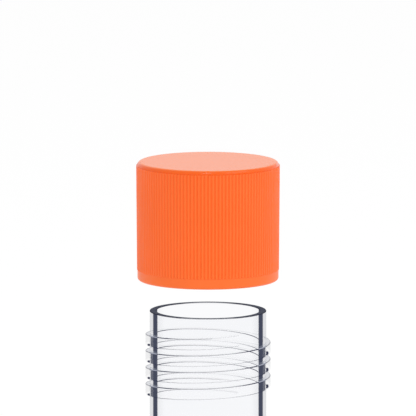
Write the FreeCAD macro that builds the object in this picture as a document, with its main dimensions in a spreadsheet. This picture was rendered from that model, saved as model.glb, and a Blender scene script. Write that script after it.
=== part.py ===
"""Cryovial with an outside thread: a clear moulded tube, its screw cap and the cap's sealing ring.

Millimetres, +Z up. The origin is the middle of the tube's foot, on the surface it stands on.
The cap is held above the open mouth. Screwed home, it sits cap_lift lower.
"""

import FreeCAD, Part
import math
import os

import Sketcher
from FreeCAD import Placement, Rotation, Vector

doc = FreeCAD.newDocument("Cryovial")

# ---------------------------------------------------------------- driving dimensions
SIZES = (
    ("tube_outer_dia", 10.15, "outside of the tube's straight wall"),
    ("tube_wall", 0.575, "wall of the tube and width of its flat rim"),
    ("tube_height", 46.5, "foot to rim"),
    ("floor_wall", 1.0, "thickness of the round inner floor"),
    ("foot_gap", 1.0, "floor's lowest point above the standing surface"),
    ("foot_wall", 0.95, "thickness of the skirt that the tube stands on"),
    ("foot_round", 0.3, "rounding of the foot's outer edge"),
    ("rim_round", 0.07, "rounding of both edges of the rim"),
    ("thread_pitch", 1.46, "rise of the thread in one turn"),
    ("thread_height", 0.37, "height of the tube's ridge above its wall"),
    ("thread_flank", 0.07, "axial width of one sloping flank of the ridge"),
    ("thread_land", 0.35, "bare wall between two turns of the ridge"),
    ("thread_turns", 3.5, "full-height turns on the tube"),
    ("thread_top_drop", 2.16, "rim to the middle of the ridge's upper end"),
    ("thread_runout", 0.09, "turns in which each end of the ridge sinks into the wall"),
    ("root_sink", 0.14, "how far the root of a ridge or rib is sunk into its wall"),
    ("cap_height", 10.4, "whole cap"),
    ("cap_plate", 1.2, "thickness of the top plate"),
    ("skirt_wall", 0.50, "skirt between its bore and the ribs' valleys, where it is thinnest"),
    ("cap_shoulder", 0.3, "rounding of the top edge"),
    ("cap_draft", 0.07, "how far the ribs' crests draw in from top to bottom, on the radius"),
    ("band_height", 0.93, "smooth band at the open end"),
    ("band_step", 0.04, "how far the band stands out from the valleys between the ribs"),
    ("band_round", 0.26, "rounding of the band's lower outer edge"),
    ("lip_chamfer", 0.15, "lead-in at the open end's inner edge"),
    ("rib_number", 126, "ribs around the cap"),
    ("rib_height", 0.08, "crest above valley"),
    ("rib_root", 0.27, "width of a rib at the valley"),
    ("rib_crest", 0.12, "width of a rib at its crest"),
    ("rib_top_drop", 0.334, "top face to the ribs' upper ends"),
    ("cap_thread_lead", 0.9, "least height of the cap's ridge above its open end"),
    ("cap_thread_head", 2.0, "clear height between the cap's ridge and the sealing ring"),
    ("thread_crest_play", 0.155, "radial clearance between the tube's ridge and the cap's bore"),
    ("thread_side_play", 0.08, "axial clearance on each flank between cap and tube"),
    ("thread_tip_play", 0.175, "radial clearance between the cap's ridge and the tube's wall"),
    ("seal_height", 0.8, "thickness of the sealing ring"),
    ("seal_overlap", 0.3, "how far the ring reaches inside the rim, on the radius"),
    ("seal_side_play", 0.1, "radial clearance between the ring and the cap's bore"),
    ("cap_gap", 2.7, "rim to the open end of the cap as it is held here"),
)

sheet = doc.addObject("Spreadsheet::Sheet", "Sizes")
for row, (alias, number, meaning) in enumerate(SIZES, start=1):
    sheet.set(f"A{row}", alias)
    sheet.set(f"B{row}", str(number))
    sheet.set(f"C{row}", meaning)
    sheet.setAlias(f"B{row}", alias)
doc.recompute()


class Length:
    """A number together with the spreadsheet expression that gives it, so that each sum is written once."""

    def __init__(self, number, text):
        self.number = number
        self.text = text

    @staticmethod
    def of(other):
        return other if isinstance(other, Length) else Length(other, str(other))

    def __add__(self, other):
        other = Length.of(other)
        return Length(self.number + other.number, f"({self.text} + {other.text})")

    def __sub__(self, other):
        other = Length.of(other)
        return Length(self.number - other.number, f"({self.text} - {other.text})")

    def __mul__(self, other):
        other = Length.of(other)
        return Length(self.number * other.number, f"({self.text} * {other.text})")

    def __truediv__(self, other):
        other = Length.of(other)
        return Length(self.number / other.number, f"({self.text} / {other.text})")

    def __neg__(self):
        return Length(-self.number, f"(0 - {self.text})")

    def root(self):
        return Length(math.sqrt(self.number), f"sqrt({self.text})")

    def floor(self):
        return Length(math.floor(self.number), f"floor({self.text})")


def size(alias):
    """The spreadsheet's value of that name."""
    return Length(float(getattr(sheet, alias)), f"Sizes.{alias}")


# ---------------------------------------------------------------- sizes that several pieces share
tube_radius = size("tube_outer_dia") / 2
bore_radius = tube_radius - size("tube_wall")
rim_z = size("tube_height")
pitch = size("thread_pitch")
flank_slope = size("thread_flank") / size("thread_height")
cap_bore_radius = tube_radius + size("thread_height") + size("thread_crest_play")
low_valley_radius = cap_bore_radius + size("skirt_wall")
valley_radius = low_valley_radius + size("cap_draft")
plate_z = size("cap_height") - size("cap_plate")
skirt_depth = plate_z - size("seal_height")
thread_low_drop = size("thread_top_drop") + pitch * size("thread_turns")
cap_lift = skirt_depth + size("cap_gap")


# ---------------------------------------------------------------- helpers
def new_body(name):
    body = doc.addObject("PartDesign::Body", name)
    body.Label = name
    return body


def origin_part(body, role):
    """One of the body's own origin planes or axes."""
    return next(part for part in body.Origin.OriginFeatures if part.Role == role)


def new_sketch(body, name, role="XZ_Plane", lift=None, turn=None):
    """A sketch on one of the body's own planes, lifted off it, or turned by degrees about its upright."""
    sketch = body.newObject("Sketcher::SketchObject", name)
    sketch.AttachmentSupport = [(origin_part(body, role), "")]
    sketch.MapMode = "FlatFace"
    if lift is not None:
        sketch.setExpression(".AttachmentOffset.Base.z", lift.text)
    if turn is not None:
        sketch.AttachmentOffset = Placement(Vector(), Rotation(Vector(0, 1, 0), turn.number))
        sketch.setExpression(".AttachmentOffset.Rotation.Angle", turn.text)
    return sketch


def hold(sketch, kind, *where, length):
    """Adds one dimension and ties it to the spreadsheet."""
    index = sketch.addConstraint(Sketcher.Constraint(kind, *where, length.number))
    sketch.setExpression(f"Constraints[{index}]", length.text)


def outline(sketch, points, arcs=None):
    """A closed outline of Lengths, or 0 on an axis. arcs gives a side the height of its centre on the axis."""
    arcs = arcs or {}
    corners = [Vector(*(Length.of(value).number for value in point), 0) for point in points]
    heads = []  # which end of each side lies at its own corner
    for side, begin in enumerate(corners):
        end = corners[(side + 1) % len(corners)]
        if side in arcs:
            centre = Vector(0, arcs[side].number, 0)
            angles = [math.atan2((p - centre).y, (p - centre).x) for p in (begin, end)]
            circle = Part.Circle(centre, Vector(0, 0, 1), begin.distanceToPoint(centre))
            sketch.addGeometry(Part.ArcOfCircle(circle, min(angles), max(angles)), False)
            sketch.addConstraint(Sketcher.Constraint("PointOnObject", side, 3, -2))
            heads.append(1 if angles[0] < angles[1] else 2)
        else:
            sketch.addGeometry(Part.LineSegment(begin, end), False)
            heads.append(1)
    for side, head in enumerate(heads):
        following = (side + 1) % len(heads)
        joint = Sketcher.Constraint("Coincident", side, 3 - head, following, heads[following])
        sketch.addConstraint(joint)
    for side, point in enumerate(points):
        for coordinate, kind, axis in zip(point, ("DistanceX", "DistanceY"), (-2, -1)):
            if isinstance(coordinate, Length):
                hold(sketch, kind, -1, 1, side, heads[side], length=coordinate)
            else:
                sketch.addConstraint(Sketcher.Constraint("PointOnObject", side, heads[side], axis))


def revolve(body, name, points, arcs=None, kind="Revolution"):
    """Turns an outline of (radius, height) points about Z, as a solid or, for a Groove, as a cut."""
    sketch = new_sketch(body, f"{name}_outline")
    outline(sketch, points, arcs)
    turned = body.newObject(f"PartDesign::{kind}", name)
    turned.Profile = sketch
    turned.ReferenceAxis = (sketch, ["V_Axis"])
    turned.Angle = 360
    doc.recompute()
    return turned


def circle_edge(feature, radius, height):
    """The name of the feature's circular edge of that radius at that height."""
    for number, edge in enumerate(feature.Shape.Edges, start=1):
        if edge.Degenerated or not isinstance(edge.Curve, Part.Circle):
            continue
        same_radius = math.isclose(edge.Curve.Radius, radius.number, abs_tol=1e-4)
        same_height = math.isclose(edge.Curve.Center.z, height.number, abs_tol=1e-4)
        if same_radius and same_height:
            return f"Edge{number}"
    raise ValueError(f"{feature.Label} has no circle of radius {radius.number} at {height.number}")


def dress(body, kind, name, base, radius, height, amount):
    """Rounds or chamfers one circular edge of base by amount."""
    feature = body.newObject(f"PartDesign::{kind}", name)
    feature.Base = (base, [circle_edge(base, radius, height)])
    property_name = "Radius" if kind == "Fillet" else "Size"
    feature.setExpression(property_name, amount.text)
    doc.recompute()
    return feature


def ridge(body, name, points, turns, turn=None):
    """Sweeps an outline of (radius, height) points up the thread from +Y, or from turn degrees past it."""
    sketch = new_sketch(body, f"{name}_outline", "YZ_Plane", turn=turn)
    outline(sketch, points)
    helix = body.newObject("PartDesign::AdditiveHelix", name)
    helix.Profile = sketch
    helix.ReferenceAxis = (sketch, ["V_Axis"])
    helix.Mode = "pitch-turns-angle"
    helix.setExpression("Pitch", pitch.text)
    helix.setExpression("Turns", turns.text)
    doc.recompute()
    return helix


def runout(body, name, points, growth, turn, downward):
    """Carries a ridge on from its end while its radius changes by growth in each turn."""
    helix = ridge(body, name, points, size("thread_runout"), turn)
    helix.Mode = "height-turns-growth"
    helix.setExpression("Height", (pitch * size("thread_runout")).text)
    helix.setExpression("Growth", growth.text)
    helix.Reversed = downward
    doc.recompute()
    return helix


# ---------------------------------------------------------------- tube
dome_z = size("foot_gap") + size("floor_wall") + bore_radius


def tube_blank(body):
    """The tube as a solid rod on its hollow foot, whose ceiling follows the round floor."""
    ceiling = bore_radius + size("floor_wall")
    foot_radius = tube_radius - size("foot_wall")
    foot_edge_z = dome_z - (ceiling * ceiling - foot_radius * foot_radius).root()
    points = (
        (0, rim_z),
        (tube_radius, rim_z),
        (tube_radius, 0),
        (foot_radius, 0),
        (foot_radius, foot_edge_z),
        (0, dome_z - ceiling),
    )
    blank = revolve(body, "blank", points, {4: dome_z})
    return dress(body, "Fillet", "foot_edge", blank, tube_radius, Length.of(0), size("foot_round"))


def tube_bore(body):
    """The bore with its round end."""
    points = (
        (0, dome_z - bore_radius),
        (bore_radius, dome_z),
        (bore_radius, rim_z),
        (0, rim_z),
    )
    return revolve(body, "bore", points, {0: dome_z}, kind="Groove")


def tube_ridge_outline(middle_z):
    """The ridge's section around middle_z."""
    half_crest = (pitch - size("thread_land")) / 2 - size("thread_flank")
    half_root = half_crest + flank_slope * (size("thread_height") + size("root_sink"))
    crest_radius = tube_radius + size("thread_height")
    root_radius = tube_radius - size("root_sink")
    return (
        (root_radius, middle_z - half_root),
        (crest_radius, middle_z - half_crest),
        (crest_radius, middle_z + half_crest),
        (root_radius, middle_z + half_root),
    )


def make_tube():
    body = new_body("vial_tube")
    tube_blank(body)
    low_end = tube_ridge_outline(rim_z - thread_low_drop)
    top_end = tube_ridge_outline(rim_z - size("thread_top_drop"))
    sinking = -(size("thread_height") + size("root_sink")) / size("thread_runout")
    ridge(body, "thread", low_end, size("thread_turns"))
    runout(body, "low_runout", low_end, sinking, Length.of(0), downward=True)
    runout(body, "top_runout", top_end, sinking, size("thread_turns") * 360, downward=False)
    bore = tube_bore(body)
    outer_rim = dress(body, "Fillet", "outer_rim", bore, tube_radius, rim_z, size("rim_round"))
    dress(body, "Fillet", "inner_rim", outer_rim, bore_radius, rim_z, size("rim_round"))
    return body


# ---------------------------------------------------------------- cap
def cap_shell(body):
    """Top plate, skirt and the smooth band at the open end, before the ribs go on."""
    band_radius = low_valley_radius + size("band_step")
    points = (
        (0, plate_z),
        (cap_bore_radius, plate_z),
        (cap_bore_radius, 0),
        (band_radius, 0),
        (band_radius, size("band_height")),
        (low_valley_radius, size("band_height")),
        (valley_radius, size("cap_height")),
        (0, size("cap_height")),
    )
    shell = revolve(body, "shell", points)
    shoulder = dress(
        body, "Fillet", "shoulder", shell, valley_radius, size("cap_height"), size("cap_shoulder")
    )
    band_edge = dress(
        body, "Fillet", "band_edge", shoulder, band_radius, Length.of(0), size("band_round")
    )
    return dress(body, "Chamfer", "lip", band_edge, cap_bore_radius, Length.of(0), size("lip_chamfer"))


def rib_end(body, name, wall_radius, height):
    """A rib's section at one height, standing on the +X side."""
    sketch = new_sketch(body, name, "XY_Plane", height)
    root_radius = wall_radius - size("root_sink")
    crest_radius = wall_radius + size("rib_height")
    half_root = size("rib_root") / 2
    half_crest = size("rib_crest") / 2
    points = (
        (root_radius, -half_root),
        (wall_radius, -half_root),
        (crest_radius, -half_crest),
        (crest_radius, half_crest),
        (wall_radius, half_root),
        (root_radius, half_root),
    )
    outline(sketch, points)
    return sketch


def cap_ribs(body):
    """One rib from band to shoulder, repeated around the axis."""
    rib = body.newObject("PartDesign::AdditiveLoft", "rib")
    rib.Profile = rib_end(body, "rib_low_end", low_valley_radius, size("band_height"))
    rib.Sections = [
        rib_end(body, "rib_top_end", valley_radius, size("cap_height") - size("rib_top_drop"))
    ]
    rib.Ruled = True
    doc.recompute()
    ribs = body.newObject("PartDesign::PolarPattern", "ribs")
    ribs.Originals = [rib]
    ribs.Axis = (origin_part(body, "Z_Axis"), [""])
    ribs.Angle = 360
    ribs.setExpression("Occurrences", size("rib_number").text)
    body.Tip = ribs
    doc.recompute()
    return ribs


def cap_ridge(body):
    """The inside ridge. Screwed home, it runs midway between the turns of the tube's ridge."""
    meshing_z = skirt_depth - thread_low_drop + pitch / 2
    above_lead = meshing_z - size("cap_thread_lead")
    start_z = size("cap_thread_lead") + above_lead - (above_lead / pitch).floor() * pitch
    turns = (skirt_depth - size("cap_thread_head") - start_z) / pitch
    tip_radius = tube_radius + size("thread_tip_play")
    root_radius = cap_bore_radius + size("root_sink")
    half_gap = size("thread_land") / 2 - size("thread_side_play")
    half_tip = half_gap + flank_slope * size("thread_tip_play")
    half_root = half_gap + flank_slope * (root_radius - tube_radius)
    points = (
        (root_radius, start_z - half_root),
        (root_radius, start_z + half_root),
        (tip_radius, start_z + half_tip),
        (tip_radius, start_z - half_tip),
    )
    return ridge(body, "inside_thread", points, turns)


def make_cap():
    body = new_body("screw_cap")
    cap_shell(body)
    cap_ridge(body)
    cap_ribs(body)
    body.setExpression(".Placement.Base.z", (rim_z - skirt_depth + cap_lift).text)
    body.setExpression(".Placement.Rotation.Angle", (cap_lift / pitch * 360).text)
    return body


# ---------------------------------------------------------------- sealing ring
def make_ring():
    body = new_body("sealing_ring")
    outer_radius = cap_bore_radius - size("seal_side_play")
    inner_radius = bore_radius - size("seal_overlap")
    points = (
        (inner_radius, 0),
        (outer_radius, 0),
        (outer_radius, size("seal_height")),
        (inner_radius, size("seal_height")),
    )
    revolve(body, "ring", points)
    body.setExpression(".Placement.Base.z", (rim_z + cap_lift).text)
    return body


bodies = (make_tube(), make_cap(), make_ring())
doc.recompute()

# ---------------------------------------------------------------- check and write
for item in doc.Objects:
    if {"Invalid", "Error"} & set(item.State):
        raise RuntimeError(f"{item.Label} failed: {item.State}")
for body in bodies:
    if body.Shape.isNull() or not body.Shape.isValid() or len(body.Shape.Solids) != 1:
        raise RuntimeError(f"{body.Label} is not one sound solid")

os.makedirs("parts", exist_ok=True)
for body in bodies:
    body.Shape.exportStep(f"parts/{body.Label}.step")
    box = body.Shape.BoundBox
    print(f"{body.Label}: {body.Shape.Volume:.1f} mm3, z {box.ZMin:.2f} to {box.ZMax:.2f}")
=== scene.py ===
# %% [markdown]
# # A cryovial and its screw cap
# A clear moulded tube with a thread outside its neck, and an orange ribbed cap held just above it.
# The CAD model gives every size and place. Here the three pieces get the smooth surfaces, the
# rounded edges and the plastics that the real vial has.

# %% Load the CAD frame
import math

import bpy
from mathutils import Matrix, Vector


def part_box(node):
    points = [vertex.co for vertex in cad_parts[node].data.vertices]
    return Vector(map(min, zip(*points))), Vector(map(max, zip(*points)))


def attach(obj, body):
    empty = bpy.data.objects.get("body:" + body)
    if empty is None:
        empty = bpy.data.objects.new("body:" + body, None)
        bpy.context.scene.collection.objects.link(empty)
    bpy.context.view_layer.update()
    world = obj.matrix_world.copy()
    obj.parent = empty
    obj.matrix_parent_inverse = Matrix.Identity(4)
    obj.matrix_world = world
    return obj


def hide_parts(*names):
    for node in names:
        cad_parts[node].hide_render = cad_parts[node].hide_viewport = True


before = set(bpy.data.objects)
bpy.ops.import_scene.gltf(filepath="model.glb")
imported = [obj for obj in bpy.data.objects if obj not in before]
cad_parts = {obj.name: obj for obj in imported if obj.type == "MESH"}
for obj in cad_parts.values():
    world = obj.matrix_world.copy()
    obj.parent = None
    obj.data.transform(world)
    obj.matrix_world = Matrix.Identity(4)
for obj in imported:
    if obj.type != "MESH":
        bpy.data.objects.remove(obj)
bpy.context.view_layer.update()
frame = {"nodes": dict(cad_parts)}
bpy.ops.object.select_all(action="DESELECT")
print("The frame holds", ", ".join(frame["nodes"]))

# %% [markdown]
# ## Working sizes
# Small mouldings are drawn in millimetres, but Blender works in metres here, so every size goes
# through `mm`. Heights are counted from the bench that the tube stands on. The cap is the one
# piece that hangs in the air, so its height is read from the CAD model and not typed in again:
# `cap_foot` is how high its open end hangs above the bench.

# %% Sizes
mm_in_metre = 1000


def mm(length):
    """Millimetres to metres."""
    return length / mm_in_metre


tube_radius = 5.075
bore_radius = 4.5
tube_height = 46.5
pitch = 1.46
cap_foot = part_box("screw_cap")[0][2] * mm_in_metre
cap_height = 10.4
print(f"The open end of the cap hangs {cap_foot - tube_height:.2f} mm above the rim")

# %% [markdown]
# ## Three habits of the workshop
# A round piece starts as half an outline that is carried around the axis, the way a lathe turns
# it. `draw_outline` sets down one point and pulls the rest out of it, corner by corner. `wind`
# carries the outline around with the Screw modifier: once and level for the tube, and several
# times while it climbs for the thread. Spin, in edit mode, turns a tube just as well, but this one
# helper does both, and it makes its faces in the same order every time. `close_edit` goes back to
# object mode and gives the piece its name. Two helpers go with them: `arc` works out the corners
# of a rounded stretch, and `round_sharp_edges` takes the sharpness off what is left.

# %% Outline, lathe and finish
weld_distance = 0.002
bevel_steps = 3


def draw_outline(corners):
    """Pulls an outline of (radius, height) corners in millimetres, and stays in edit mode."""
    bpy.ops.mesh.primitive_plane_add(size=mm(1), location=(0, 0, 0))
    bpy.ops.object.mode_set(mode="EDIT")
    bpy.ops.mesh.select_mode(type="VERT")
    bpy.ops.mesh.select_all(action="SELECT")
    bpy.ops.mesh.merge(type="CENTER")
    bpy.ops.transform.translate(value=(mm(corners[0][0]), 0, mm(corners[0][1])))
    for (radius, height), (next_radius, next_height) in zip(corners, corners[1:]):
        step = (mm(next_radius - radius), 0, mm(next_height - height))
        bpy.ops.mesh.extrude_region_move(TRANSFORM_OT_translate={"value": step})


def wind(turns, climb, steps):
    """Carries the outline being edited around the upright axis, and makes the skin face outward."""
    bpy.ops.object.mode_set(mode="OBJECT")
    piece = bpy.context.object
    winding = piece.modifiers.new("winding", "SCREW")
    winding.angle = math.tau * turns
    winding.screw_offset = mm(climb)
    winding.steps = steps
    winding.render_steps = steps
    winding.use_merge_vertices = climb == 0
    winding.merge_threshold = mm(weld_distance)
    bpy.ops.object.modifier_apply(modifier="winding")
    print("The outline is wound into", len(piece.data.polygons), "faces")
    bpy.ops.object.mode_set(mode="EDIT")
    bpy.ops.mesh.select_mode(type="VERT")
    bpy.ops.mesh.select_all(action="SELECT")
    bpy.ops.mesh.normals_make_consistent(inside=False)


def round_sharp_edges(sharpness, width):
    """Bevels every edge that turns by more than so many degrees, width millimetres wide."""
    bpy.ops.mesh.select_all(action="DESELECT")
    bpy.ops.mesh.select_mode(type="EDGE")
    bpy.ops.mesh.edges_select_sharp(sharpness=math.radians(sharpness))
    bpy.ops.mesh.bevel(offset=mm(width), segments=bevel_steps, affect="EDGES")


def close_edit(name, smooth_angle):
    """Leaves edit mode, and names and shades the piece."""
    bpy.ops.object.mode_set(mode="OBJECT")
    piece = bpy.context.object
    piece.name = name
    bpy.ops.object.shade_smooth_by_angle(angle=math.radians(smooth_angle))
    bpy.ops.object.select_all(action="DESELECT")
    print(name, "has", len(piece.data.polygons), "faces")
    return piece


def arc(middle, radius, start, end, steps):
    """Corners along an arc in an outline: angles in degrees from the outward direction."""
    angles = [math.radians(start + (end - start) * step / steps) for step in range(steps + 1)]
    return [(middle[0] + radius * math.cos(a), middle[1] + radius * math.sin(a)) for a in angles]


for radius, height in arc((0, 0), bore_radius, start=-90, end=0, steps=2):
    print(f"A corner on a quarter of the bore: {radius:.2f} mm out, {height:.2f} mm up")

# %% [markdown]
# ## The tube
# The real tube is one piece of polished polypropylene with a round bottom, which stands on a
# hollow foot. Both are in one outline: up the inside, over the rim, down the outside and under
# the foot. A single skin thickened by a Solidify modifier could make the wall, but not a round
# floor above a hollow, so the outline goes all the way round and the wall comes out right by
# itself. The sharp edges then get a small bevel, because no moulded edge is knife sharp, and a
# rounded clear edge is what draws the dark line round a real mouth.

# %% Turn the tube
bottom_middle = (0, 6.5)
foot_inside = 4.125
foot_round = 0.3
dome_radius = 5.5
dome_start = -math.degrees(math.acos(foot_inside / dome_radius))
edge_round = 0.05
tube_outline = (
    arc(bottom_middle, bore_radius, start=-90, end=0, steps=16)
    + [(bore_radius, tube_height), (tube_radius, tube_height)]
    + arc((tube_radius - foot_round, foot_round), foot_round, start=0, end=-90, steps=6)
    + [(foot_inside, 0)]
    + arc(bottom_middle, dome_radius, start=dome_start, end=-90, steps=10)
)
tube_outline[0] = (0, tube_outline[0][1])
tube_outline[-1] = (0, tube_outline[-1][1])
draw_outline(tube_outline)
wind(turns=1, climb=0, steps=192)
round_sharp_edges(sharpness=50, width=edge_round)
tube = close_edit("tube_body", smooth_angle=30)

# %% [markdown]
# ## The thread on the neck
# The ridge climbs three and a half turns. Its section is drawn once, with a flat crest and flanks
# that stand nearly square on the wall, like the real one's. It is turned to where the thread
# starts and wound up the neck. A curve with a bevelled profile could climb as well, but its
# section would lean with the slope, and a moulded thread's doesn't. When Blender runs without a
# window, `transform.rotate` turns the other way round, so its angles have the opposite sign here.

# %% Wind the ridge
ridge_height = 0.37
half_crest = 0.485
half_root = 0.555
turns = 3.5
lower_end_drop = 7.27
first_turn_height = tube_height - lower_end_drop
steps_per_turn = 96
crest_radius = tube_radius + ridge_height
draw_outline(
    [
        (tube_radius, -half_root),
        (crest_radius, -half_crest),
        (crest_radius, half_crest),
        (tube_radius, half_root),
    ]
)
bpy.ops.mesh.select_all(action="SELECT")
bpy.ops.transform.rotate(value=-math.pi / 2, orient_axis="Z", center_override=(0, 0, 0))
bpy.ops.transform.translate(value=(0, 0, mm(first_turn_height)))
wind(turns, climb=pitch * turns, steps=round(steps_per_turn * turns))
thread = bpy.context.object

# %% [markdown]
# ## The ends of the thread
# A cap would catch on a thread that begins with a cliff, so the real ridge sinks into the wall at
# each end. The last section is selected by its place and pulled on in small steps that turn,
# climb and shrink towards the axis. At the end a narrow bevel rounds both edges of the whole
# ridge.

# %% Let the ends run out
run_out_steps = 8
run_out_turn = 0.09
sink_past_wall = 0.02
run_out_sink = ridge_height + sink_past_wall
ridge_edge_round = 0.06
on_the_line = 0.01


def select_near(piece, chosen):
    """Selects the vertices whose place, in millimetres, passes a test."""
    bpy.ops.mesh.select_all(action="DESELECT")
    bpy.ops.object.mode_set(mode="OBJECT")
    for vertex in piece.data.vertices:
        vertex.select = chosen(vertex.co * mm_in_metre)
    bpy.ops.object.mode_set(mode="EDIT")


def run_out(direction):
    """Pulls the selected end section on along the thread while it sinks into the wall."""
    sunk_radius = crest_radius
    for step in range(run_out_steps):
        turned = direction * math.tau * run_out_turn / run_out_steps
        climb = direction * mm(pitch * run_out_turn / run_out_steps)
        shrink = 1 - run_out_sink / run_out_steps / sunk_radius
        bpy.ops.mesh.extrude_region_move(TRANSFORM_OT_translate={"value": (0, 0, climb)})
        bpy.ops.transform.rotate(value=-turned, orient_axis="Z", center_override=(0, 0, 0))
        bpy.ops.transform.resize(value=(shrink, shrink, 1), center_override=(0, 0, 0))
        sunk_radius *= shrink
    print(f"An end runs out at {sunk_radius:.3f} mm from the axis, inside the wall's {tube_radius} mm")


lower_end = first_turn_height + pitch / 2
upper_end = first_turn_height + pitch * turns - pitch / 2
select_near(thread, lambda spot: abs(spot.x) < on_the_line and spot.y > 0 and spot.z < lower_end)
run_out(-1)
select_near(thread, lambda spot: abs(spot.x) < on_the_line and spot.y < 0 and spot.z > upper_end)
run_out(1)
round_sharp_edges(sharpness=40, width=ridge_edge_round)
thread = close_edit("tube_thread", smooth_angle=15)

# %% [markdown]
# ## A small language for materials
# A material is a chain of nodes. `Paint` adds any node in one call, and `Signal` wraps what comes
# out of it, so that sums between signals read like ordinary sums. Drawn by hand in the node
# editor the same chains would fill a wall. Written like this, a finish is a few lines that can be
# read aloud. The light of a room is made of nodes too, so `Paint` can also be a room.

# %% Signals
class Signal:
    """A number or colour on its way through a material."""

    def __init__(self, paint, socket):
        self.paint = paint
        self.socket = socket

    def __add__(self, other):
        return self.paint.sum_of("ADD", self, other)

    def __radd__(self, other):
        return self.paint.sum_of("ADD", other, self)

    def __sub__(self, other):
        return self.paint.sum_of("SUBTRACT", self, other)

    def __rsub__(self, other):
        return self.paint.sum_of("SUBTRACT", other, self)

    def __mul__(self, other):
        return self.paint.sum_of("MULTIPLY", self, other)

    def __rmul__(self, other):
        return self.paint.sum_of("MULTIPLY", other, self)

    def __truediv__(self, other):
        return self.paint.sum_of("DIVIDE", self, other)


print("Sums that a Signal knows:", sum(callable(skill) for skill in vars(Signal).values()) - 1)

# %% [markdown]
# ## What a paint can tell about a spot
# The methods of `Paint` answer a maker's questions: where on the piece is this spot, how far from
# the axis, how far is it turned from the eye. `turned_aside` is the one that matters for a clear
# tube. Layer Weight compares a direction with the line to the eye. Given the outward direction
# of the round wall, and with the height of the eye divided out, it says only how far round the
# tube the spot lies: 0 in the middle, 1 at the outline. `fade` turns such an answer into a shade.
# From here on the numbers of a fade are kept together under a name: where it starts and ends, and
# then how dark it is there, unless it simply goes from 0 to 1.

# %% Paint
never_zero = 0.001
cloud_detail = 2.0


class Paint:
    """A material, or the light of a room, under construction."""

    def __init__(self, name, is_room=False):
        self.painted = (bpy.data.worlds if is_room else bpy.data.materials).new(name)
        self.last_node = "ShaderNodeOutputWorld" if is_room else "ShaderNodeOutputMaterial"
        self.painted.use_nodes = True
        self.tree = self.painted.node_tree
        self.tree.nodes.clear()

    def add(self, kind, settings=None, sockets=None, output=0):
        """Adds a node with its settings, values and links, and gives one of its outputs."""
        node = self.tree.nodes.new(kind)
        for setting, value in (settings or {}).items():
            setattr(node, setting, value)
        for socket, value in (sockets or {}).items():
            if isinstance(value, Signal):
                self.tree.links.new(value.socket, node.inputs[socket])
            else:
                node.inputs[socket].default_value = value
        return Signal(self, node.outputs[output]) if node.outputs else None

    def sum_of(self, operation, first, second=0.0):
        """One Math node on signals or numbers."""
        return self.add("ShaderNodeMath", {"operation": operation}, {0: first, 1: second})

    def fade(self, signal, low, high, start=0.0, end=1.0):
        """Goes smoothly from start to end while the signal goes from low to high."""
        limits = {0: signal, 1: low, 2: high, 3: start, 4: end}
        return self.add("ShaderNodeMapRange", {"interpolation_type": "SMOOTHSTEP"}, limits)

    def between(self, signal, limits, strength=1.0):
        """Comes in between the first two limits, and goes out between the last two."""
        starts, full, thins, ends = limits
        return self.fade(signal, starts, full) * self.fade(signal, thins, ends, strength, 0.0)

    def facing(self):
        """0 where the surface faces the eye, 1 where it is seen edge on."""
        return self.add("ShaderNodeLayerWeight", sockets={"Blend": 0.5}, output="Facing")

    def facing_of(self, direction):
        """The same for a given direction in place of the surface's own."""
        sockets = {"Blend": 0.5, "Normal": direction}
        return self.add("ShaderNodeLayerWeight", sockets=sockets, output="Facing")

    def turned_aside(self):
        """How far round the tube a spot lies from the middle, whatever the height of the eye."""
        flat = self.add("ShaderNodeVectorMath", {"operation": "MULTIPLY"}, {0: self.place(), 1: (1, 1, 0)})
        outward = self.add("ShaderNodeVectorMath", {"operation": "NORMALIZE"}, {0: flat})
        upright = self.add("ShaderNodeCombineXYZ", sockets={"Z": 1.0})
        climb = 1 - self.facing_of(upright)
        level = self.sum_of("SQRT", self.sum_of("MAXIMUM", 1 - climb * climb, never_zero))
        return 1 - (1 - self.facing_of(outward)) / level

    def place(self):
        """Where the spot is on the piece."""
        return self.add("ShaderNodeTexCoord", output="Object")

    def along(self, axis):
        """Its place along one axis, in millimetres."""
        metres = self.add("ShaderNodeSeparateXYZ", sockets={"Vector": self.place()}, output=axis)
        return metres * mm_in_metre

    def radius(self):
        """Its distance from the axis, in millimetres."""
        x, y = self.along("X"), self.along("Y")
        return self.sum_of("SQRT", x * x + y * y)

    def from_behind(self):
        """1 where the inner side of a face is seen, 0 where its outer side is."""
        return self.add("ShaderNodeNewGeometry", output="Backfacing")

    def noise(self, size):
        """Cloudy noise whose patches are about size millimetres wide."""
        sockets = {"Vector": self.place(), "Scale": mm_in_metre / size, "Detail": cloud_detail}
        return self.add("ShaderNodeTexNoise", sockets=sockets)

    def wrap(self, signal):
        """The distance to the nearest whole number."""
        return self.add("ShaderNodeMath", {"operation": "WRAP"}, {0: signal, 1: 0.5, 2: -0.5})

    def blend(self, factor, first, second):
        """Two shaders mixed by a factor."""
        return self.add("ShaderNodeMixShader", sockets={0: factor, 1: first, 2: second})

    def blend_colours(self, factor, first, second):
        """Two colours mixed by a factor."""
        sockets = {0: factor, 6: first, 7: second}
        return self.add("ShaderNodeMix", {"data_type": "RGBA"}, sockets, output=2)

    def finish(self, surface):
        """Puts the last shader on the surface."""
        self.add(self.last_node, sockets={"Surface": surface})
        print(self.painted.name, "is made of", len(self.tree.nodes), "nodes")
        return self.painted


print("A Paint can do", sum(callable(skill) for skill in vars(Paint).values()), "things")
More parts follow.
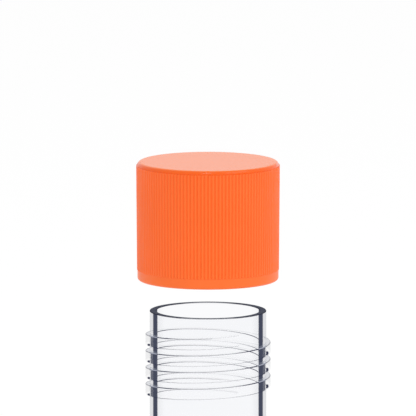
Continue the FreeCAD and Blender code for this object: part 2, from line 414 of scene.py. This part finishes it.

# %% [markdown]
# ## Clear plastic
# Polished polypropylene passes nearly all light straight through. What we see of it is its edges:
# where one looks almost along the wall instead of across it, light is bent away from the white
# room, and a dark band shows. A Glass shader would bend the light too, but a thin wall then needs
# many bounces and shows every lamp. Here each clear skin is a mix of two things, see-through
# plastic and a painted colour that stands in for that bent light, and a rule says where it goes.
# Four painted shades and one painted highlight are enough for the whole tube, and the flat of the
# rim adds a painted grey reflection of its own.

# %% Painted shades and clear plastic
# Painted shade and light: dark where the clear skins bend light away, pale where an edge brings white
# light across the dark band.
painted_shade = (0.062, 0.07, 0.108, 1)
painted_line_shade = (0.03, 0.034, 0.075, 1)
painted_edge_shade = (0.02, 0.02, 0.037, 1)
painted_flank_grey = (0.36, 0.39, 0.46, 1)
painted_pale_highlight = (0.36, 0.38, 0.46, 1)
water_clear = (0.977, 0.979, 0.985, 1)
rim_clear = (0.9, 0.91, 0.93, 1)


def clear_with_painted_light_and_shade(paint, shade, tint, colour):
    """Thin clear plastic of a tint, which gives way to a painted shade or highlight as far as shade says.
    """
    clear = paint.add("ShaderNodeBsdfTransparent", sockets={"Color": tint})
    dark = paint.add("ShaderNodeEmission", sockets={"Color": colour})
    return paint.finish(paint.blend(shade, clear, dark))


print(f"The wall lets {water_clear[1]:.1%} of the light through each time it is crossed")

# %% [markdown]
# ## The wall and its dark band
# On each side of a clear tube a dark band runs down the wall, a little inside the outline, with
# a bright strip outside it. Here the band is painted shade: `wall_band` says where on the way
# round it starts, is full, thins and ends, and a fainter painted shade lies before it and on the
# strip. A band fixed on the mesh would stay where it is when one walks round the tube. This
# painted one moves along, as the real one does.

# %% Outer wall
# Painted shade: the dark band, and fainter shade before it and on the bright strip.
wall_band = (0.488, 0.528, 0.606, 0.707)
painted_shade_before_band = (0.3, 0.5, 0.0, 0.05)
painted_shade_on_strip = (0.69, 0.72, 0.0, 0.08)


def make_wall():
    """The outside wall, with the painted shade of the dark band that it shows on each side."""
    paint = Paint("clear_wall")
    aside = paint.turned_aside()
    side_shade = paint.fade(aside, *painted_shade_before_band) + paint.fade(aside, *painted_shade_on_strip)
    return clear_with_painted_light_and_shade(paint, paint.between(aside, wall_band) + side_shade, water_clear, painted_shade)


wall_skin = make_wall()

# %% [markdown]
# ## The far thread, seen through the tube
# Through two walls and the air between them, the far half of the thread shows as thin dark lines
# that climb the other way. Light traced through four curved skins would blur them, so they are
# painted where they appear, on the inner wall. A helix is simple to paint: height in turns of the
# thread minus the angle round the axis, both counted from where the thread starts, is a whole
# number all along it.

# %% Inner wall
line_half_width = 0.045
line_core = 0.4 * line_half_width
line_lift = 0.03
start_of_thread = 0.25
# Painted shade on the round bottom, darker where it is seen edge on.
round_bottom = (5.6, 6.6, 1.0, 0.0)
bottom_darkens = (0.6, 1.0, 0.0, 0.7)
upper_line_darkens = (0.0, 0.6, 0.42, 1.15)
lower_line_darkens = (0.0, 0.6, 0.12, 0.75)


def thread_line(paint, offset):
    """1 on a thin line along the thread, offset millimetres above the middle of its crest."""
    height = (paint.along("Z") - (first_turn_height + offset)) / pitch
    angle = paint.sum_of("ARCTAN2", paint.along("Y"), paint.along("X")) / math.tau
    away = paint.sum_of("ABSOLUTE", paint.wrap(height - angle + start_of_thread) * pitch)
    line = paint.fade(away, line_core, line_half_width, 1.0, 0.0)
    return line * paint.between(height, (-run_out_turn, 0.0, turns, turns + run_out_turn))


def make_inside():
    """The inside wall: painted dark lines where the far half of the thread shows through it, and painted
    shade on the round bottom.
    """
    paint = Paint("clear_inside")
    bottom = paint.fade(paint.facing(), *bottom_darkens) * paint.fade(paint.along("Z"), *round_bottom)
    aside = paint.turned_aside()
    upper = thread_line(paint, line_lift + half_crest) * paint.fade(aside, *upper_line_darkens)
    lower = thread_line(paint, line_lift - half_crest) * paint.fade(aside, *lower_line_darkens)
    seen_through = (upper + lower) * (1 - paint.from_behind())
    return clear_with_painted_light_and_shade(paint, bottom + seen_through, water_clear, painted_line_shade)


inside_skin = make_inside()

# %% [markdown]
# ## The rim
# Looked at from a little above, the flat ring round the mouth mirrors the dark inside of the wall
# and turns grey, and its two rounded edges draw a nearly black line round the mouth. Two skins
# paint this: a cloudy painted grey reflection for the flat, which gets darker the more it is seen
# edge on, and painted dark shade for the edges, which lets up in the very middle, where a real rim
# catches the light.

# %% Rim and its edges
# Painted reflection of the dark inside on the flat of the rim: two greys mixed by noise.
rim_shadow = (0.06, 0.066, 0.085, 1)
rim_light = (0.09, 0.096, 0.13, 1)
rim_cloud = 1.2
rim_darkens = (0.3, 0.8, 0.25, 1.0)
rim_edge_darkens = (0.1, 0.6, 0.85, 1.0)
rim_edge_glint = (0.0, 0.16, 0.5, 1.0)


def make_rim():
    """The flat ring round the mouth, with its painted grey reflection."""
    paint = Paint("rim_ring")
    grey = paint.blend_colours(paint.noise(rim_cloud), rim_shadow, rim_light)
    return clear_with_painted_light_and_shade(paint, paint.fade(paint.facing(), *rim_darkens), rim_clear, grey)


def make_rim_edge():
    """The rounded edges of that ring and of the foot, with painted dark shade, darker than the flat."""
    paint = Paint("rim_edge")
    edge_on = paint.fade(paint.facing(), *rim_edge_darkens)
    glint = paint.fade(paint.turned_aside(), *rim_edge_glint)
    return clear_with_painted_light_and_shade(paint, edge_on * glint, rim_clear, painted_edge_shade)


rim_skin = make_rim()
rim_edge_skin = make_rim_edge()

# %% [markdown]
# ## The skins of the thread
# A clear ridge shows five things: its crest, two flanks, and the two fine edges between them. The
# crest stands further out, so the dark band lies further out on it than on the wall. The
# flanks are nearly clear in front. The edges are where the eye finds the thread: thin dark lines in
# front of the clear wall, which turn pale where they cross the dark band. All of this is painted
# shade and painted highlight: each of the five gets a rule of its own, and a sixth skin lets the
# painted shade at the ends of the ridge fade away.

# %% Crest and flanks
# Painted shade and light for the thread: where its dark band, grey and dark lines lie.
crest_band = (0.434, 0.494, 0.595, 0.61)
crest_band_depth = 0.88
painted_shade_on_crest = (0.61, 0.63, 0.0, 0.09)
flank_painted_grey = (0.35, 0.65, 0.03, 0.34)
root_line = (tube_radius + 0.03, tube_radius + 0.1, 1.0, 0.0)
root_line_darkens = (0.05, 0.45, 0.6, 1.0)
root_line_lost_behind = 0.8
low_on_flank = (tube_radius + 0.16, tube_radius + 0.25, 1.0, 0.0)
at_the_outline = (0.79, 0.88)
run_out_painted_shade = 0.05
run_out_patches = 0.15
run_out_patch_size = 1.0


def crest_shade(paint):
    """The painted dark band of the wall reaches further out on the crest."""
    aside = paint.turned_aside()
    band = paint.between(aside, crest_band, crest_band_depth)
    return band * (1 - paint.from_behind()) + paint.fade(aside, *painted_shade_on_crest)


def upper_flank_shade(paint):
    """Clear in front, with painted grey shade at the sides, which also shows across the dark band."""
    return paint.fade(paint.turned_aside(), *flank_painted_grey)


def lower_flank_shade(paint):
    """A fine painted dark line along its root, and a painted dark spot where it ends at the outline."""
    aside = paint.turned_aside()
    radius = paint.radius()
    near_side = 1 - paint.from_behind() * root_line_lost_behind
    line = paint.fade(radius, *root_line) * paint.fade(aside, *root_line_darkens) * near_side
    spot = paint.fade(radius, *low_on_flank) * paint.fade(aside, *at_the_outline)
    return paint.sum_of("MAXIMUM", line, spot)


def run_out_shade(paint):
    """The painted shade of the edges is faint and patchy while the thread sinks into the wall."""
    return run_out_painted_shade + paint.noise(run_out_patch_size) * run_out_patches


print(f"The crest's band starts at {crest_band[0]}, the wall's at {wall_band[0]}")

# %% [markdown]
# ## The edges of the thread
# A moulded edge is never quite even, so slow noise makes the painted dark line of the upper edge
# a little stronger here and weaker there. The near and the far side differ too: seen from behind,
# through the tube, an edge's painted line is faint in front and dark only towards the outline.

# %% Edges
# Painted shade along the edges of the thread, and a painted pale highlight where they cross the dark band.
crossing_band = (0.4, 0.44, 0.6, 0.66)
patch_size = 4.0
patch_weakest = 0.7
patch_swing = 0.6
upper_edge_darkens = (0.0, 0.4, 0.42, 1.3)
upper_edge_thins = (0.6, 0.68, 1.0, 0.45)
upper_edge_behind = (0.6, 0.75, 0.12, 0.7)
lower_edge_darkens = (0.0, 0.45, 0.25, 0.7)
lower_edge_thins = (0.52, 0.62, 1.0, 0.12)
lower_edge_lost_behind = 0.85
no_tint = (1, 1, 1, 1)


def upper_edge_painted_colour(paint):
    """Painted shade before the clear wall, but a painted pale highlight where it crosses the dark band."""
    crossing = paint.between(paint.turned_aside(), crossing_band)
    return paint.blend_colours(crossing, painted_line_shade, painted_pale_highlight)


def upper_edge_shade(paint):
    """The edge that catches the eye: fine in front, darker as it goes round, faint on the far side."""
    aside = paint.turned_aside()
    patchy = patch_weakest + paint.noise(patch_size) * patch_swing
    near = paint.fade(aside, *upper_edge_darkens) * paint.fade(aside, *upper_edge_thins) * patchy
    far = paint.fade(aside, *upper_edge_behind)
    behind = paint.from_behind()
    return near * (1 - behind) + far * behind


def lower_edge_shade(paint):
    """A fainter line than the upper edge's, and lost at the outline."""
    aside = paint.turned_aside()
    near = paint.fade(aside, *lower_edge_darkens) * paint.fade(aside, *lower_edge_thins)
    return near * (1 - paint.from_behind() * lower_edge_lost_behind)


def make_thread_skin(name, colour_of, shade_of):
    """A clear face of the thread, which takes up painted shade or highlight where shade_of says so."""
    paint = Paint(name)
    return clear_with_painted_light_and_shade(paint, shade_of(paint), no_tint, colour_of(paint))


thread_skins = [
    make_thread_skin("thread_crest", lambda paint: painted_shade, crest_shade),
    make_thread_skin("thread_upper_flank", lambda paint: painted_flank_grey, upper_flank_shade),
    make_thread_skin("thread_lower_flank", lambda paint: painted_line_shade, lower_flank_shade),
    make_thread_skin("thread_upper_edge", upper_edge_painted_colour, upper_edge_shade),
    make_thread_skin("thread_lower_edge", lambda paint: painted_line_shade, lower_edge_shade),
    make_thread_skin("thread_run_out", lambda paint: painted_shade, run_out_shade),
]

# %% [markdown]
# ## Each face gets its skin
# The skins are ready, and every face has to be given one. Picking faces by hand would have to be
# done again after each change of size. So each skin comes with a rule about where a face lies
# and which way it looks: upright faces far from the axis are the outer wall, level faces at the
# top are the rim, and on the thread the slope of a face tells crest, flank and edge apart. The
# first skin fits every face, and each later rule takes its own faces from the ones before.

# %% Hand out the skins
wall_reach = 0.1
rim_reach = 0.01
edge_reach = 0.08
begun_to_sink = 0.07
quite_level = 0.99
nearly_level = 0.96
halfway_down = 0.7
slanted = 0.1


def radius_of(spot):
    """Distance from the upright axis."""
    return math.hypot(spot.x, spot.y)


def dress(piece, skins, rules):
    """Gives each face the last skin whose rule fits its middle, in millimetres, and its normal."""
    for slot, (skin, belongs) in enumerate(zip(skins, rules)):
        piece.data.materials.append(skin)
        for face in piece.data.polygons:
            if belongs(face.center * mm_in_metre, face.normal):
                face.material_index = slot
    for slot, skin in enumerate(skins):
        count = sum(face.material_index == slot for face in piece.data.polygons)
        print(skin.name, "is on", count, "faces")


def is_wall(spot, normal):
    """The upright outside, down to the middle of the foot's rounding."""
    return radius_of(spot) > tube_radius - wall_reach and abs(normal.z) < halfway_down


def is_rim(spot, normal):
    """The flat ring round the mouth."""
    return spot.z > tube_height - rim_reach and normal.z > quite_level


def is_rim_edge(spot, normal):
    """The rounded edges of that ring, and the inner one of the foot."""
    at_mouth = spot.z > tube_height - edge_reach and slanted < normal.z < quite_level
    at_foot = spot.z < edge_reach and radius_of(spot) < foot_inside + edge_reach
    return at_mouth or at_foot


def is_ridge_end(spot, normal):
    """The upper edge where the ridge has begun to sink."""
    is_edge = slanted < normal.z <= nearly_level
    return is_edge and radius_of(spot) < crest_radius - begun_to_sink


tube_rules = (lambda spot, normal: True, is_wall, is_rim, is_rim_edge)
thread_rules = (
    lambda spot, normal: True,
    lambda spot, normal: normal.z > nearly_level,
    lambda spot, normal: normal.z < -nearly_level,
    lambda spot, normal: slanted < normal.z <= nearly_level,
    lambda spot, normal: -nearly_level <= normal.z < -slanted,
    is_ridge_end,
)
dress(tube, (inside_skin, wall_skin, rim_skin, rim_edge_skin), tube_rules)
dress(thread, thread_skins, thread_rules)

# %% [markdown]
# ## The cap
# The cap is moulded in one piece, and the CAD model has its ribs, band, shoulder and inside
# thread in their true places, so its mesh stays. Its plastic is a satin orange. The colour goes all
# the way through, and fine spark erosion of the mould leaves the skin slightly dull. Only the
# top is polished, and the rounded shoulder under it, where the plate and the skirt meet, is smooth.
# The top also gets a lighter orange, painted light for what it catches from above, and the
# shoulder a deeper orange, painted shade. Height alone tells the three apart.

# %% Satin orange
orange_shadow = (0.95, 0.152, 0.02, 1)
orange_light = (1.0, 0.17, 0.027, 1)
# Painted light: the top's orange is lighter than the sides'. Painted shade: the shoulder's orange is
# deeper.
top_orange_painted_light = (1.0, 0.205, 0.022, 1)
corner_orange_painted_shade = (0.93, 0.122, 0.004, 1)
orange_cloud = 3.0
orange_grain = 0.12
cap_top = cap_foot + cap_height
top_polish_and_painted_light = (cap_top - 0.1, cap_top - 0.01)
corner_start = (cap_top - 0.4, cap_top - 0.3)
satin = 0.34
satin_grain = 0.1
gloss_of_top = 0.16
gloss_of_corner = 0.26


def grained_plastic(paint, colour, roughness, grain, bend, strength, depth):
    """Solid plastic with a fine grain: how much it bends light, and how strong and deep its bumps are."""
    sockets = {"Strength": strength, "Distance": mm(depth), "Height": grain}
    bump = paint.add("ShaderNodeBump", sockets=sockets)
    sockets = {"Base Color": colour, "Roughness": roughness, "IOR": bend, "Normal": bump}
    return paint.finish(paint.add("ShaderNodeBsdfPrincipled", sockets=sockets))


def make_cap_plastic():
    """Satin polypropylene, coloured right through, with painted light on the top and painted shade on the
    shoulder.
    """
    paint = Paint("satin_orange")
    grain = paint.noise(orange_grain)
    skin = paint.blend_colours(paint.noise(orange_cloud), orange_shadow, orange_light)
    polish_and_painted_light = paint.fade(paint.along("Z"), *top_polish_and_painted_light)
    # The shoulder's mask carries both its smoother gloss and its painted shade.
    corner = paint.fade(paint.along("Z"), *corner_start) * (1 - polish_and_painted_light)
    colour = paint.blend_colours(polish_and_painted_light, skin, top_orange_painted_light)
    colour = paint.blend_colours(corner, colour, corner_orange_painted_shade)
    roughness = satin + grain * satin_grain - polish_and_painted_light * gloss_of_top - corner * gloss_of_corner
    return grained_plastic(paint, colour, roughness, grain, bend=1.35, strength=0.12, depth=0.01)


def dress_node(node, material):
    """Puts a material on a CAD node, whose mesh stays as it is."""
    piece = frame["nodes"][node]
    piece.data.materials.clear()
    piece.data.materials.append(material)


dress_node("screw_cap", make_cap_plastic())

# %% [markdown]
# ## The sealing ring
# A flat ring of milky silicone lies against the plate of the cap, out of sight until one looks up
# into it. Rubber is duller than the cap and has a coarser grain, so the same plastic recipe
# does for it, with other numbers.

# %% Silicone
silicone_shadow = (0.82, 0.82, 0.79, 1)
silicone_light = (0.9, 0.9, 0.87, 1)
silicone_grain = 0.2
rubber_dull = 0.55
rubber_dull_grain = 0.1


def make_silicone():
    """Milky silicone rubber."""
    paint = Paint("milky_silicone")
    grain = paint.noise(silicone_grain)
    colour = paint.blend_colours(grain, silicone_shadow, silicone_light)
    roughness = rubber_dull + grain * rubber_dull_grain
    return grained_plastic(paint, colour, roughness, grain, bend=1.41, strength=0.2, depth=0.02)


dress_node("sealing_ring", make_silicone())

# %% [markdown]
# ## Who moves with whom
# When the cap is screwed on, the tube stays where it is. Its body and its thread are two meshes
# here, but one moulding, so both ride on the CAD body called tube and together take the place
# of the CAD tube. The cap and the ring are CAD nodes and move by themselves.

# %% Ride
for piece in (tube, thread):
    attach(piece, "tube")
    print(piece.name, "rides on the body of the tube")
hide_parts("vial_tube")
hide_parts("vial_tube")

# %% [markdown]
# ## The table
# A clear vial is shown on white, because whatever is dark around it would show in it. A lit white
# table turns grey away from the lamp. This one gives back half of its light from itself, so
# it reads white everywhere and still takes a soft shadow.

# %% Table
pure_white = (1, 1, 1, 1)
half_grey = (0.5, 0.5, 0.5, 1)
table_radius = 0.6
table_glow = 0.588
bpy.ops.mesh.primitive_circle_add(vertices=96, radius=table_radius, fill_type="NGON", location=(0, 0, 0))
table = bpy.context.object
table.name = "table"
paint = Paint("white_table")
matt = paint.add("ShaderNodeBsdfDiffuse", sockets={"Color": half_grey})
glow = paint.add("ShaderNodeEmission", sockets={"Color": pure_white, "Strength": table_glow})
table.data.materials.append(paint.finish(paint.add("ShaderNodeAddShader", sockets={0: matt, 1: glow})))

# %% [markdown]
# ## The white room
# The room should look pure white, to the eye and in every gloss, and yet light the cap gently, or
# its colour washes out. A Light Path node tells the two apart: rays that come from the eye,
# or by way of a mirror or clear plastic, meet full white, and all others meet a softer light.

# %% Room
room_light = 0.76
room = Paint("white_room", is_room=True)
seen = room.sum_of(
    "MAXIMUM",
    room.add("ShaderNodeLightPath", output="Is Camera Ray"),
    room.add("ShaderNodeLightPath", output="Is Glossy Ray"),
)
seen = room.sum_of("MAXIMUM", seen, room.add("ShaderNodeLightPath", output="Is Transmission Ray"))
soft = room.add("ShaderNodeBackground", sockets={"Color": pure_white, "Strength": room_light})
white = room.add("ShaderNodeBackground", sockets={"Color": pure_white, "Strength": 1.0})
bpy.context.scene.world = room.finish(room.blend(seen, soft, white))

# %% [markdown]
# ## Two lamps
# A large softbox, high on the right, lights the cap's right half a little more and gives the
# ribs their shape. A narrow strip straight above the front is there for one thing: the pale line
# along the cap's rounded shoulder, which only a small, bright source can draw.

# %% Lamps
middle_of_vial = Vector((0, 0, 0.05))


def hang_lamp(name, place, width, height, energy):
    """A flat softbox that looks at the middle of the vial."""
    bpy.ops.object.light_add(type="AREA", location=place)
    lamp = bpy.context.object
    lamp.name = name
    lamp.data.shape = "RECTANGLE"
    lamp.data.size = width
    lamp.data.size_y = height
    lamp.data.energy = energy
    to_vial = middle_of_vial - lamp.location
    lamp.rotation_euler = to_vial.to_track_quat("-Z", "Y").to_euler()
    print(f"{name} hangs {to_vial.length:.2f} m from the vial, with {energy} W")


hang_lamp("softbox", place=(0.38, -0.26, 0.42), width=0.4, height=0.4, energy=0.68)
hang_lamp("strip", place=(0.0, -0.42, 0.44), width=0.14, height=0.06, energy=0.36)

# %% [markdown]
# ## Camera
# A long lens well back, a little above the mouth, so that both ellipses stay slim and the two
# sides of the tube stay parallel. The lens follows from how wide a strip of the scene is to fill
# the picture.

# %% Camera
camera_rise = math.radians(8.35)
camera_distance = 1.5
frame_width = 0.0362
aim = Vector((0, 0, 0.0555))
camera_reach = 10
bpy.ops.object.camera_add()
camera = bpy.context.object
camera.location = aim + camera_distance * Vector((0, -math.cos(camera_rise), math.sin(camera_rise)))
camera.rotation_euler = (aim - camera.location).to_track_quat("-Z", "Y").to_euler()
camera.data.lens = camera.data.sensor_width * camera_distance / frame_width
camera.data.clip_end = camera_reach
bpy.context.scene.camera = camera
bpy.context.scene.view_settings.view_transform = "Standard"
print(f"The lens is {camera.data.lens:.0f} mm long")
